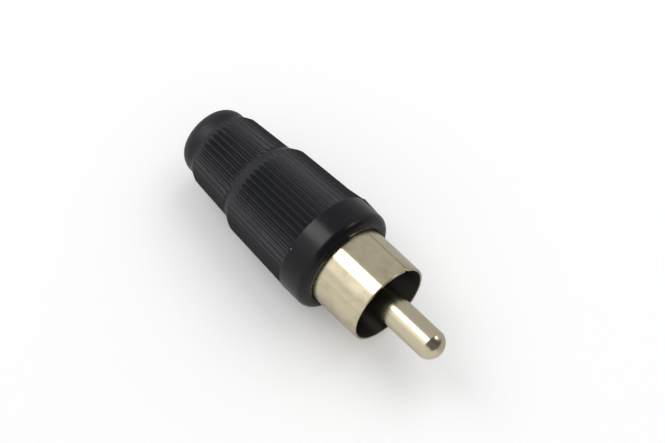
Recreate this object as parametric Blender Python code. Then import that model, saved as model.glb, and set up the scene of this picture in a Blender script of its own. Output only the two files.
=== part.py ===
"""Phono plug for soldering to a cable, standing on its cable end, +Z towards the tip of the pin.

A moulded cover screws over the neck of a shell that is rolled from nickel-plated sheet. The same
sheet runs on behind the neck as the ground lug and cable clamp. An insulator in the neck holds the
hollow centre pin, and a fibre washer and two folded tabs keep it there. The origin is the middle of
the cover's flat cable end. The shell's seam faces -Y, and the lug lies on the opposite side.
"""

import math

import bmesh
import bpy
from mathutils import Matrix, Vector

MM = 0.001

# Cover, from its cable end upwards
END_FLAT_DIAMETER = 5.3 * MM
END_DIAMETER = 7.6 * MM
END_ROUND_HEIGHT = 1.75 * MM
END_LENGTH = 2.15 * MM
CABLE_HOLE_DIAMETER = 4.0 * MM
CABLE_HOLE_BREAK = 0.15 * MM
END_WALL = 1.5 * MM
REAR_RAMP = 1.0 * MM
REAR_TIER_LENGTH = 6.2 * MM
REAR_TIER_BACK_DIAMETER = 8.58 * MM
REAR_TIER_FRONT_DIAMETER = 9.4 * MM
SHOULDER_LENGTH = 1.2 * MM
MAIN_TIER_LENGTH = 8.2 * MM
MAIN_TIER_BACK_DIAMETER = 10.66 * MM
MAIN_TIER_FRONT_DIAMETER = 11.6 * MM
COLLAR_LENGTH = 3.55 * MM
COLLAR_BACK_DIAMETER = 11.72 * MM
COLLAR_FRONT_DIAMETER = 11.82 * MM
COLLAR_BACK_FILLET = 0.2 * MM
COLLAR_FRONT_FILLET = 0.95 * MM
RIB_PITCH = 0.7 * MM
RIB_HEIGHT = 0.3 * MM
RIB_RUN_OUT = 0.57 * MM
COVER_WALL = 1.1 * MM

# Shell, rolled from one strip of sheet
SHEET = 0.28 * MM
SHELL_DIAMETER = 9.1 * MM
SHELL_REACH = 6.15 * MM
SHELL_LAP = 1.2 * MM
SHELL_STEP = 0.6 * MM
NECK_DIAMETER = 8.0 * MM
NECK_LENGTH = 5.1 * MM
RIM_BREAK = 0.06 * MM
SEAM_GAP = 0.08 * MM
NOTCH_WIDTH = 0.42 * MM
NOTCH_DEPTH = 0.3 * MM

# Ground lug and clamp, which the same sheet forms behind the neck
LUG_WIDTH = 3.4 * MM
LUG_STRAIGHT = 0.9 * MM
LUG_CRANK = 1.9 * MM
LUG_LENGTH = 2.4 * MM
LUG_TAPER = 1.0 * MM
LUG_HOLE_DIAMETER = 1.5 * MM
CLAMP_STEM_WIDTH = 2.0 * MM
CLAMP_STEM_LENGTH = 1.6 * MM
CLAMP_DIAMETER = 5.2 * MM
CLAMP_LENGTH = 3.2 * MM
CLAMP_WRAP = math.radians(230)
TAB_WIDTH_ANGLE = math.radians(26)
TAB_SPACING = math.radians(120)
TAB_FOLD = 0.9 * MM

# Insulator and washer
INSULATOR_DEPTH = 6.8 * MM
INSULATOR_BREAK = 0.15 * MM
WASHER_THICKNESS = 0.8 * MM

# Centre pin
PIN_DIAMETER = 3.2 * MM
PIN_REACH = 7.48 * MM
PIN_DOME = 1.2 * MM
PIN_WALL = 0.7 * MM
PIN_FLANGE_DIAMETER = 4.6 * MM
PIN_FLANGE_THICKNESS = 0.5 * MM
CUP_DIAMETER = 2.5 * MM
CUP_WALL = 0.4 * MM
CUP_LENGTH = 3.2 * MM
CUP_SCOOP_LENGTH = 1.8 * MM

# Clearances
COVER_CLEARANCE = 0.12 * MM
THREAD_CLEARANCE = 0.12 * MM
SEAT_CLEARANCE = 0.1 * MM
PRESS_CLEARANCE = 0.05 * MM
CAVITY_CLEARANCE = 0.3 * MM
JOIN_INSET = 0.02 * MM
CUT_EXTRA = 0.5 * MM

# Facets
COVER_SEGMENTS = 72
SHELL_SEGMENTS = 72
INNER_SEGMENTS = 48
PIN_SEGMENTS = 40
HOLE_SEGMENTS = 24
ARC_STEPS = 5
POINTS_PER_RIB = 4

# Heights that follow from the sizes above
SHOULDER_BACK = END_LENGTH + REAR_TIER_LENGTH
SHOULDER_FRONT = SHOULDER_BACK + SHOULDER_LENGTH
COLLAR_BACK = SHOULDER_FRONT + MAIN_TIER_LENGTH
COVER_FRONT = COLLAR_BACK + COLLAR_LENGTH
SHELL_MOUTH = COVER_FRONT + SHELL_REACH
PIN_TIP = SHELL_MOUTH + PIN_REACH
STEP_FRONT = COVER_FRONT - SHELL_LAP
STEP_BACK = STEP_FRONT - SHELL_STEP
NECK_BACK = STEP_BACK - NECK_LENGTH
INSULATOR_FRONT = SHELL_MOUTH - INSULATOR_DEPTH
WASHER_BACK = NECK_BACK - PRESS_CLEARANCE
WASHER_FRONT = WASHER_BACK + WASHER_THICKNESS
INSULATOR_BACK = WASHER_FRONT + SEAT_CLEARANCE
FLANGE_BACK = WASHER_FRONT + SEAT_CLEARANCE
FLANGE_FRONT = FLANGE_BACK + PIN_FLANGE_THICKNESS
CUP_BACK = WASHER_BACK - CUP_LENGTH
TAB_TOP = WASHER_BACK - SEAT_CLEARANCE
LUG_FRONT = NECK_BACK - LUG_STRAIGHT - LUG_CRANK
STEM_FRONT = LUG_FRONT - LUG_LENGTH - LUG_TAPER
CLAMP_FRONT = STEM_FRONT - CLAMP_STEM_LENGTH
CLAMP_BACK = CLAMP_FRONT - CLAMP_LENGTH

# Radii that follow
SHELL_OUTSIDE = SHELL_DIAMETER / 2
SHELL_INSIDE = SHELL_OUTSIDE - SHEET
NECK_OUTSIDE = NECK_DIAMETER / 2
NECK_INSIDE = NECK_OUTSIDE - SHEET
CLAMP_OUTSIDE = CLAMP_DIAMETER / 2
PIN_RADIUS = PIN_DIAMETER / 2
CUP_OUTSIDE = CUP_DIAMETER / 2
CUP_BORE = CUP_OUTSIDE - CUP_WALL
REAR_CAVITY = CLAMP_OUTSIDE + CAVITY_CLEARANCE

# Directions in plan
SEAM_ANGLE = math.radians(-90)
LUG_ANGLE = math.radians(90)
MAIN_GROOVE_ANGLE = math.radians(-34.5)
REAR_GROOVE_ANGLE = math.radians(-31)


def clear_scene():
    for old in list(bpy.data.objects):
        bpy.data.objects.remove(old, do_unlink=True)


def material(name, colour, metallic, roughness):
    made = bpy.data.materials.new(name)
    made.use_nodes = True
    shader = made.node_tree.nodes["Principled BSDF"]
    shader.inputs["Base Color"].default_value = (*colour, 1)
    shader.inputs["Metallic"].default_value = metallic
    shader.inputs["Roughness"].default_value = roughness
    return made


def object_from(name, bm, finish=None, cutter=False):
    """A new object from the bmesh, smooth but for its real edges. A cutter stays out of the render."""
    bmesh.ops.recalc_face_normals(bm, faces=bm.faces)
    mesh = bpy.data.meshes.new(name)
    bm.to_mesh(mesh)
    bm.free()
    mesh.shade_smooth()
    mesh.set_sharp_from_angle(angle=math.radians(30))
    made = bpy.data.objects.new(name, mesh)
    bpy.context.collection.objects.link(made)
    if finish:
        mesh.materials.append(finish)
    if cutter:
        made.hide_render = True
        made.display_type = "WIRE"
    return made


def boolean(target, operation, other):
    step = target.modifiers.new(other.name, "BOOLEAN")
    step.operation = operation
    step.solver = "EXACT"
    step.object = other


def arc(centre_r, centre_z, radius, start, end, steps=ARC_STEPS):
    """Points (r, z) along an arc, both ends included. Angle 0 points outwards and 90 degrees up."""
    angles = [start + (end - start) * i / steps for i in range(steps + 1)]
    return [(centre_r + radius * math.cos(a), centre_z + radius * math.sin(a)) for a in angles]


def spun(profile, segments, angle=2 * math.pi, start=0.0):
    """A bmesh turned from a closed profile of (r, z) points, over the whole circle or part of it."""
    bm = bmesh.new()
    turn = Matrix.Rotation(start, 3, "Z")
    verts = [bm.verts.new(turn @ Vector((r, 0, z))) for r, z in profile]
    edges = [bm.edges.new((verts[i - 1], verts[i])) for i in range(len(verts))]
    whole = math.isclose(angle, 2 * math.pi)
    bmesh.ops.spin(
        bm,
        geom=verts + edges,
        cent=(0, 0, 0),
        axis=(0, 0, 1),
        angle=angle,
        steps=segments,
        use_merge=whole,
    )
    if not whole:
        bmesh.ops.holes_fill(bm, edges=[e for e in bm.edges if e.is_boundary], sides=0)
    return bm


def turned(profile, segments):
    """A bmesh turned from an open profile of (r, z) points that starts and ends on the axis."""
    bm = bmesh.new()
    verts = [bm.verts.new((r, 0, z)) for r, z in profile]
    edges = [bm.edges.new(pair) for pair in zip(verts, verts[1:])]
    bmesh.ops.spin(
        bm,
        geom=verts + edges,
        cent=(0, 0, 0),
        axis=(0, 0, 1),
        angle=2 * math.pi,
        steps=segments,
        use_merge=True,
    )
    bmesh.ops.remove_doubles(bm, verts=bm.verts, dist=1e-7)
    return bm


def box(x_range, y_range, z_range):
    bm = bmesh.new()
    bmesh.ops.create_cube(bm, size=1)
    size = Vector([high - low for low, high in (x_range, y_range, z_range)])
    middle = Vector([(high + low) / 2 for low, high in (x_range, y_range, z_range)])
    bmesh.ops.transform(bm, matrix=Matrix.Diagonal((*size, 1)), verts=bm.verts)
    bmesh.ops.translate(bm, vec=middle, verts=bm.verts)
    return bm


def radius_along(height, back, front, back_radius, front_radius):
    """The radius at a height on the straight line through two ends, or past them."""
    return back_radius + (front_radius - back_radius) * (height - back) / (front - back)


def ring(bm, count, start, height, radius_at):
    """A closed ring of edges round the axis, with its radius given point by point."""
    verts = []
    for i in range(count):
        turn = start + 2 * math.pi * i / count
        radius = radius_at(i)
        verts.append(bm.verts.new((radius * math.cos(turn), radius * math.sin(turn), height)))
    return [bm.edges.new((verts[i - 1], verts[i])) for i in range(count)]


def smooth_ring(bm, height, radius, count=COVER_SEGMENTS, start=0.0):
    return ring(bm, count, start, height, lambda i: radius)


def ribbed_ring(bm, height, tip_radius, count, start):
    """A ring over ribs with straight flanks, from the bottom of one groove to the next."""

    def radius_at(i):
        across = (i % POINTS_PER_RIB) / POINTS_PER_RIB
        return tip_radius - RIB_HEIGHT * abs(2 * across - 1)

    return ring(bm, count, start, height, radius_at)


def points_round(back_radius, front_radius):
    """The points of a ribbed ring: a whole number of ribs, nearest to the pitch half way along."""
    return POINTS_PER_RIB * round(math.pi * (back_radius + front_radius) / RIB_PITCH)


def end_rings(bm):
    """The rounded cable end, from its flat upwards."""
    end_radius = END_DIAMETER / 2
    inset = end_radius - END_FLAT_DIAMETER / 2
    end_round = (inset**2 + END_ROUND_HEIGHT**2) / (2 * inset)
    end_start = -math.asin(END_ROUND_HEIGHT / end_round)
    profile = arc(end_radius - end_round, END_ROUND_HEIGHT, end_round, end_start, 0)
    return [smooth_ring(bm, z, r) for r, z in profile]


def rear_rings(bm):
    """The small tier: ribs that ramp up from the end and run out into the shoulder."""
    end = END_DIAMETER / 2
    back = REAR_TIER_BACK_DIAMETER / 2
    front = REAR_TIER_FRONT_DIAMETER / 2
    count = points_round(back, front)
    ramp_front = END_LENGTH + REAR_RAMP
    ribs_back = ramp_front - RIB_RUN_OUT
    ribs_front = SHOULDER_BACK - RIB_RUN_OUT
    ramp = (END_LENGTH, ramp_front, end, back)
    tier = (ramp_front, SHOULDER_BACK, back, front)
    return [
        smooth_ring(bm, END_LENGTH, end, count, REAR_GROOVE_ANGLE),
        smooth_ring(bm, ribs_back, radius_along(ribs_back, *ramp), count, REAR_GROOVE_ANGLE),
        ribbed_ring(bm, ramp_front, back, count, REAR_GROOVE_ANGLE),
        ribbed_ring(bm, ribs_front, radius_along(ribs_front, *tier), count, REAR_GROOVE_ANGLE),
        smooth_ring(bm, SHOULDER_BACK, front, count, REAR_GROOVE_ANGLE),
    ]


def main_rings(bm):
    """The large tier: ribs that rise out of the shoulder and stop at the collar."""
    foot = REAR_TIER_FRONT_DIAMETER / 2
    back = MAIN_TIER_BACK_DIAMETER / 2
    front = MAIN_TIER_FRONT_DIAMETER / 2
    count = points_round(back, front)
    ribs_back = SHOULDER_FRONT - RIB_RUN_OUT
    shoulder = (SHOULDER_BACK, SHOULDER_FRONT, foot, back)
    return [
        smooth_ring(bm, ribs_back, radius_along(ribs_back, *shoulder), count, MAIN_GROOVE_ANGLE),
        ribbed_ring(bm, SHOULDER_FRONT, back, count, MAIN_GROOVE_ANGLE),
        ribbed_ring(bm, COLLAR_BACK, front, count, MAIN_GROOVE_ANGLE),
    ]


def collar_rings(bm):
    """The smooth collar, from the ends of the ribs to its flat front face."""
    back = COLLAR_BACK_DIAMETER / 2 - COLLAR_BACK_FILLET
    front = COLLAR_FRONT_DIAMETER / 2 - COLLAR_FRONT_FILLET
    back_height = COLLAR_BACK + COLLAR_BACK_FILLET
    front_height = COVER_FRONT - COLLAR_FRONT_FILLET
    profile = arc(back, back_height, COLLAR_BACK_FILLET, -math.pi / 4, 0, 1)
    profile += arc(front, front_height, COLLAR_FRONT_FILLET, 0, math.pi / 2)
    return [smooth_ring(bm, z, r) for r, z in profile]


def cover_outside():
    """The outside of the cover as one skin over its rings, closed flat at both ends."""
    bm = bmesh.new()
    rings = end_rings(bm) + rear_rings(bm) + main_rings(bm) + collar_rings(bm)
    for lower, upper in zip(rings, rings[1:]):
        bmesh.ops.bridge_loops(bm, edges=lower + upper)
    bmesh.ops.holes_fill(bm, edges=[e for e in bm.edges if e.is_boundary], sides=0)
    return bm


def cover_bore():
    """All that is hollow in the cover: shell seat, thread bore, cavity and cable hole."""
    hole = CABLE_HOLE_DIAMETER / 2
    thread = NECK_OUTSIDE + THREAD_CLEARANCE
    seat = SHELL_OUTSIDE + COVER_CLEARANCE
    cavity_front = SHOULDER_FRONT + COVER_WALL
    cavity_back = SHOULDER_BACK - COVER_WALL
    profile = [
        (0, -CUT_EXTRA),
        (hole + CABLE_HOLE_BREAK + CUT_EXTRA, -CUT_EXTRA),
        (hole, CABLE_HOLE_BREAK),
        (hole, END_WALL),
        (REAR_CAVITY, END_WALL),
        (REAR_CAVITY, cavity_back),
        (thread, cavity_front),
        (thread, STEP_BACK - SEAT_CLEARANCE),
        (seat, STEP_FRONT - SEAT_CLEARANCE),
        (seat, COVER_FRONT + CUT_EXTRA),
        (0, COVER_FRONT + CUT_EXTRA),
    ]
    return turned(profile, INNER_SEGMENTS)


def make_cover(finish):
    cover = object_from("cover", cover_outside(), finish)
    boolean(cover, "DIFFERENCE", object_from("cover_bore", cover_bore(), cutter=True))


def shell_tube():
    """The rolled tube: barrel, step and neck, open along its butt seam."""
    profile = [
        (SHELL_INSIDE, STEP_FRONT),
        (NECK_INSIDE, STEP_BACK),
        (NECK_INSIDE, NECK_BACK),
        (NECK_OUTSIDE, NECK_BACK),
        (NECK_OUTSIDE, STEP_BACK),
        (SHELL_OUTSIDE, STEP_FRONT),
        (SHELL_OUTSIDE, SHELL_MOUTH - RIM_BREAK),
        (SHELL_OUTSIDE - RIM_BREAK, SHELL_MOUTH),
        (SHELL_INSIDE + RIM_BREAK, SHELL_MOUTH),
        (SHELL_INSIDE, SHELL_MOUTH - RIM_BREAK),
    ]
    gap = SEAM_GAP / SHELL_OUTSIDE
    return spun(profile, SHELL_SEGMENTS, 2 * math.pi - gap, SEAM_ANGLE + gap / 2)


def seam_notch():
    """The small V that the two corners of the sheet leave at the mouth of the seam."""
    bm = bmesh.new()
    top = SHELL_MOUTH + CUT_EXTRA
    spread = NOTCH_WIDTH / 2 * (1 + CUT_EXTRA / NOTCH_DEPTH)
    inner = SHELL_INSIDE - CUT_EXTRA
    outer = SHELL_OUTSIDE + CUT_EXTRA
    corners = ((0, SHELL_MOUTH - NOTCH_DEPTH), (spread, top), (-spread, top))
    face = bm.faces.new([bm.verts.new((x, -inner, z)) for x, z in corners])
    raised = bmesh.ops.extrude_face_region(bm, geom=[face])
    moved = [item for item in raised["geom"] if isinstance(item, bmesh.types.BMVert)]
    bmesh.ops.translate(bm, vec=(0, inner - outer, 0), verts=moved)
    return bm


def lug_half_width(height):
    """Half the width of the strip: broad at the lug, narrow at the stem of the clamp."""
    broad = LUG_WIDTH / 2
    narrow = CLAMP_STEM_WIDTH / 2
    share = (height - STEM_FRONT) / LUG_TAPER
    return narrow + (broad - narrow) * min(max(share, 0), 1)


def lug_offset(height):
    """How far the middle of the strip lies from the plug's axis: it cranks in behind the neck."""
    outer = NECK_OUTSIDE - SHEET / 2
    inner = CLAMP_OUTSIDE - SHEET / 2
    share = (NECK_BACK - LUG_STRAIGHT - height) / LUG_CRANK
    share = min(max(share, 0), 1)
    return outer + (inner - outer) * (1 - math.cos(math.pi * share)) / 2


def ground_strip():
    """The strip behind the neck: curved where it leaves the tube, flat at the lug."""
    heights = [NECK_BACK + LUG_STRAIGHT, NECK_BACK, NECK_BACK - LUG_STRAIGHT]
    heights += [NECK_BACK - LUG_STRAIGHT - LUG_CRANK * i / 6 for i in range(1, 6)]
    heights += [LUG_FRONT, LUG_FRONT - LUG_LENGTH / 2, STEM_FRONT + LUG_TAPER, STEM_FRONT]
    heights += [CLAMP_FRONT, CLAMP_FRONT - CLAMP_LENGTH / 4]
    bm = bmesh.new()
    bmesh.ops.create_grid(bm, x_segments=6, y_segments=len(heights) - 1, size=1)
    rows = sorted({round(vert.co.y, 3) for vert in bm.verts}, reverse=True)
    for vert in bm.verts:
        height = heights[rows.index(round(vert.co.y, 3))]
        across = vert.co.x * lug_half_width(height)
        offset = lug_offset(height)
        straight = min(max((NECK_BACK - height) / (LUG_STRAIGHT + LUG_CRANK), 0), 1)
        sag = (offset - math.sqrt(offset**2 - across**2)) * (1 - straight)
        vert.co = (across, offset - sag, height)
    bmesh.ops.recalc_face_normals(bm, faces=bm.faces)
    thickness = SHEET - 2 * JOIN_INSET
    before = set(bm.verts)
    bmesh.ops.solidify(bm, geom=bm.faces[:], thickness=thickness)
    added = [vert for vert in bm.verts if vert not in before]
    sides = [sum(v.co.y for v in group) / len(group) for group in (list(before), added)]
    towards = 1 if sides[1] < sides[0] else -1
    bmesh.ops.translate(bm, vec=(0, towards * thickness / 2, 0), verts=bm.verts)
    return bm


def clamp_band():
    """The cable clamp: a band open towards the seam side, with its two ears bent over."""
    profile = [
        (CLAMP_OUTSIDE - SHEET, CLAMP_BACK),
        (CLAMP_OUTSIDE, CLAMP_BACK),
        (CLAMP_OUTSIDE, CLAMP_FRONT),
        (CLAMP_OUTSIDE - SHEET, CLAMP_FRONT),
    ]
    return spun(profile, SHELL_SEGMENTS // 2, CLAMP_WRAP, LUG_ANGLE - CLAMP_WRAP / 2)


def folded_tab(angle):
    """A tab of the neck that is folded in under the washer."""
    inner = NECK_INSIDE + JOIN_INSET
    outer = NECK_OUTSIDE - JOIN_INSET
    profile = [
        (inner, NECK_BACK + SHEET),
        (inner, TAB_TOP),
        (NECK_INSIDE - TAB_FOLD, TAB_TOP),
        (NECK_INSIDE - TAB_FOLD, TAB_TOP - SHEET),
        (outer - SHEET / 2, TAB_TOP - SHEET),
        (outer, TAB_TOP - SHEET / 2),
        (outer, NECK_BACK + SHEET),
    ]
    return spun(profile, ARC_STEPS, TAB_WIDTH_ANGLE, angle - TAB_WIDTH_ANGLE / 2)


def lug_hole():
    bm = bmesh.new()
    bmesh.ops.create_cone(
        bm,
        cap_ends=True,
        segments=HOLE_SEGMENTS,
        radius1=LUG_HOLE_DIAMETER / 2,
        radius2=LUG_HOLE_DIAMETER / 2,
        depth=2 * NECK_OUTSIDE,
    )
    bmesh.ops.rotate(bm, matrix=Matrix.Rotation(math.pi / 2, 3, "X"), verts=bm.verts)
    height = LUG_FRONT - LUG_LENGTH / 2
    bmesh.ops.translate(bm, vec=(0, NECK_OUTSIDE + CUP_OUTSIDE, height), verts=bm.verts)
    return bm


def make_shell(finish):
    shell = object_from("shell", shell_tube(), finish)
    boolean(shell, "DIFFERENCE", object_from("seam_notch", seam_notch(), cutter=True))
    strip = object_from("ground_strip", ground_strip(), cutter=True)
    boolean(strip, "DIFFERENCE", object_from("lug_hole", lug_hole(), cutter=True))
    boolean(shell, "UNION", strip)
    boolean(shell, "UNION", object_from("clamp_band", clamp_band(), cutter=True))
    for name, side in (("tab_right", 1), ("tab_left", -1)):
        tab = folded_tab(LUG_ANGLE - side * TAB_SPACING)
        boolean(shell, "UNION", object_from(name, tab, cutter=True))


def make_insulator(finish):
    """The moulding in the neck, with a flange on the step and a pocket for the pin's flange."""
    flange = SHELL_INSIDE - SEAT_CLEARANCE
    body = NECK_INSIDE - PRESS_CLEARANCE
    hole = PIN_RADIUS + PRESS_CLEARANCE
    pocket = PIN_FLANGE_DIAMETER / 2 + SEAT_CLEARANCE
    profile = [
        (hole, INSULATOR_FRONT),
        (hole, FLANGE_FRONT + SEAT_CLEARANCE),
        (pocket, FLANGE_FRONT + SEAT_CLEARANCE),
        (pocket, INSULATOR_BACK),
        (body - INSULATOR_BREAK, INSULATOR_BACK),
        (body, INSULATOR_BACK + INSULATOR_BREAK),
        (body, STEP_BACK + SEAT_CLEARANCE),
        (flange, STEP_FRONT + SEAT_CLEARANCE),
        (flange, INSULATOR_FRONT - INSULATOR_BREAK),
        (flange - INSULATOR_BREAK, INSULATOR_FRONT),
    ]
    object_from("insulator", spun(profile, INNER_SEGMENTS), finish)


def make_washer(finish):
    hole = CUP_OUTSIDE + SEAT_CLEARANCE
    outer = NECK_INSIDE - PRESS_CLEARANCE
    profile = [
        (hole, WASHER_BACK),
        (outer, WASHER_BACK),
        (outer, WASHER_FRONT),
        (hole, WASHER_FRONT),
    ]
    object_from("washer", spun(profile, INNER_SEGMENTS), finish)


def make_pin(finish):
    """The hollow pin: domed tip, trapped flange and solder cup, bored from behind."""
    dome_radius = (PIN_RADIUS**2 + PIN_DOME**2) / (2 * PIN_DOME)
    dome_start = math.acos(PIN_RADIUS / dome_radius)
    dome = arc(0, PIN_TIP - dome_radius, dome_radius, dome_start, math.pi / 2, 2 * ARC_STEPS)
    bore = PIN_RADIUS - PIN_WALL
    flange = PIN_FLANGE_DIAMETER / 2
    bore_end = PIN_TIP - PIN_DOME - PIN_WALL
    profile = [(0, bore_end + bore / 2), (bore, bore_end), (bore, FLANGE_FRONT)]
    profile += [(CUP_BORE, FLANGE_BACK), (CUP_BORE, CUP_BACK), (CUP_OUTSIDE, CUP_BACK)]
    profile += [(CUP_OUTSIDE, FLANGE_BACK), (flange, FLANGE_BACK), (flange, FLANGE_FRONT)]
    profile += [(PIN_RADIUS, FLANGE_FRONT)] + dome[:-1] + [(0, PIN_TIP)]
    pin = object_from("centre_pin", turned(profile, PIN_SEGMENTS), finish)
    scoop = box(
        (-2 * CUP_OUTSIDE, 2 * CUP_OUTSIDE),
        (-2 * CUP_OUTSIDE, 0),
        (CUP_BACK - CUT_EXTRA, CUP_BACK + CUP_SCOOP_LENGTH),
    )
    boolean(pin, "DIFFERENCE", object_from("cup_scoop", scoop, cutter=True))


def main():
    clear_scene()
    black_plastic = material("black moulded plastic", (0.012, 0.012, 0.013), 0.0, 0.42)
    nickel = material("nickel plated sheet", (0.62, 0.59, 0.53), 1.0, 0.18)
    dark_plastic = material("black insulator plastic", (0.01, 0.01, 0.01), 0.0, 0.5)
    fibre = material("hard fibre board", (0.23, 0.09, 0.04), 0.0, 0.7)
    make_cover(black_plastic)
    make_shell(nickel)
    make_insulator(dark_plastic)
    make_washer(fibre)
    make_pin(nickel)


main()
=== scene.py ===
"""Phono plug for soldering to a cable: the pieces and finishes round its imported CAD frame.

Heights are along the plug's axis, from the cover's flat cable end to the tip of the pin, and
directions are turned round it from +X. The shell's seam faces -Y, and the ground lug lies opposite.
"""

import math

import bmesh
import bpy
from bpy.props import FloatProperty, FloatVectorProperty, PointerProperty
from mathutils import Matrix, Vector


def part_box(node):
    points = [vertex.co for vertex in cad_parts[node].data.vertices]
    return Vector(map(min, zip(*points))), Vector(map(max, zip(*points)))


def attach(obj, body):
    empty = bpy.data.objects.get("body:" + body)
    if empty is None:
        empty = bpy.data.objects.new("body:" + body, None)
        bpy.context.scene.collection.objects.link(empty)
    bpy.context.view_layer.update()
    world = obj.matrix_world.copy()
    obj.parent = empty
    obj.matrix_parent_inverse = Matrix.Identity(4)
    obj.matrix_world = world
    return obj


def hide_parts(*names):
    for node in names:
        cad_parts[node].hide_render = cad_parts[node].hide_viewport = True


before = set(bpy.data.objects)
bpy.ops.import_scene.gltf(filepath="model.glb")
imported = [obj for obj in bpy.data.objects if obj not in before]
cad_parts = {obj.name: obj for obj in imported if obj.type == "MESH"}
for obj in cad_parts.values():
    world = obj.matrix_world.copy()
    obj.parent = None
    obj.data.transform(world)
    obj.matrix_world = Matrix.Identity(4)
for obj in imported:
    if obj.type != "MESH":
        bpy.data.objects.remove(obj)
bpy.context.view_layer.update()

bl_info = {
    "name": "Phono Plug",
    "version": (1, 0, 0),
    "blender": (4, 5, 0),
    "location": "View3D > Sidebar > Phono Plug",
    "description": "Builds a solder-type phono plug with its ribbed cover, rolled shell and pin",
    "category": "Add Mesh",
}

MM = 0.001

# Points nearer than this are one point
SAME = 1e-7

# Directions of the shell's seam and of the ground lug opposite
SEAM_TURN = math.radians(-90)
LUG_TURN = math.radians(90)

# Steps of a full turn, fine enough for round reflections
COVER_STEPS = 600
LINING_STEPS = 144
SHELL_STEPS = 360
PIN_STEPS = 160
RING_STEPS = 144

# The camera that the photograph's outlines give
IMAGE_WIDTH = 665
IMAGE_CENTRE = (332.5, 221.5)
SENSOR_WIDTH = 36
CAMERA_DISTANCE = 320 * MM
PIXELS_PER_METRE = 10147.3
MOUTH_PIXEL = (388.446, 304.632)
AXIS_TO_VIEW = math.radians(66.965)
AXIS_ROLL = math.radians(43.077)
FACING_TURN = math.radians(-34)
TABLE_NORMAL = (0, 0.495, 0.869)


def linear(hex_colour):
    """An sRGB hex colour as linear red, green, blue."""
    parts = [int(hex_colour[i : i + 2], 16) / 255 for i in (1, 3, 5)]
    return tuple(p / 12.92 if p <= 0.04045 else ((p + 0.055) / 1.055) ** 2.4 for p in parts)


def length(name, description, mm):
    return FloatProperty(name=name, description=description, default=mm * MM, unit="LENGTH")


def height(name, description, metres):
    return FloatProperty(name=name, description=description, default=metres, unit="LENGTH")


def colour(name, description, hex_colour):
    return FloatVectorProperty(
        name=name,
        description=description,
        default=linear(hex_colour),
        subtype="COLOR",
        min=0,
        max=1,
    )


def angle(name, description, degrees):
    return FloatProperty(
        name=name, description=description, default=math.radians(degrees), unit="ROTATION"
    )


def power(name, description, watts):
    return FloatProperty(name=name, description=description, default=watts, min=0, unit="POWER")


def share(name, description, value):
    return FloatProperty(name=name, description=description, default=value, min=0, subtype="FACTOR")


class CoverSettings(bpy.types.PropertyGroup):
    front: height("Front", "Height of the collar's front face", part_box("cover")[1].z)
    cable_hole: length("Cable hole", "Diameter of the hole for the cable", 4.0)
    hole_break: length("Hole edge", "Chamfer at the edge of that hole", 0.15)
    end_flat: length("End flat", "Diameter of the flat at the cable end", 5.3)
    end_diameter: length("End diameter", "Diameter of the smooth cable end", 7.6)
    end_round: length("End rounding", "Height over which the cable end is rounded", 1.75)
    end_length: length("End length", "Length of the smooth cable end", 2.15)
    ramp: length("Rib ramp", "Length over which the ribs rise from the cable end", 1.0)
    rear_length: length("Rear tier", "Length of the small ribbed tier", 6.2)
    rear_back: length("Rear tier, back", "Its diameter at the cable end", 8.58)
    rear_front: length("Rear tier, front", "Its diameter at the shoulder", 9.4)
    shoulder: length("Shoulder", "Length of the sloping shoulder", 1.2)
    main_length: length("Main tier", "Length of the large ribbed tier", 8.2)
    main_back: length("Main tier, back", "Its diameter at the shoulder", 10.66)
    main_front: length("Main tier, front", "Its diameter at the collar", 11.6)
    collar_back: length("Collar, back", "Diameter of the collar behind", 11.72)
    collar_front: length("Collar, front", "Diameter of the collar in front", 11.82)
    collar_edge: length("Collar edge", "Radius of the collar's back edge", 0.2)
    collar_round: length("Collar rounding", "Radius of the collar's front edge", 0.95)
    rib_pitch: length("Rib pitch", "Distance from rib to rib", 0.7)
    rib_crest: length("Rib crest", "Rounding of each rib's crest", 0.04)
    rib_flank: angle("Rib flank", "Slope of the ribs' flanks", 49.5)
    rib_valley: length("Rib valley", "Rounding of the grooves between them", 0.05)
    rib_softness: length("Rib softness", "Rounding where the ribs run out", 0.08)
    rear_groove: angle("Rear groove", "Direction of one groove of the small tier", -31)
    main_groove: angle("Main groove", "Direction of one groove of the large tier", -34.65)
    nib: length("Nib", "How far a nib of flash stands out of the collar's back edge", 0.22)
    nib_turn: angle("Nib turn", "Direction of that nib", -124)
    nib_length: length("Nib length", "Half its length along the axis", 0.5)
    nib_width: length("Nib width", "Half its width", 0.35)
    wall: length("Wall", "Thickness of the cover's wall", 1.1)
    end_wall: length("End wall", "Thickness of the wall at the cable end", 1.5)
    thread_bore: length("Thread bore", "Diameter inside the cover's thread", 8.24)
    shell_seat: length("Shell seat", "Diameter of the mouth that takes the shell", 9.2)
    mouth_break: length("Mouth edge", "Chamfer at the edge of that mouth", 0.06)
    plastic: colour("Plastic", "Colour of the moulded cover", "#111215")
    sanded: colour("Sanded plastic", "Its greyer look where the mould was sanded", "#1F2023")
    dust: colour("Dust", "Colour of the few specks on the cover", "#A8A69F")


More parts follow.
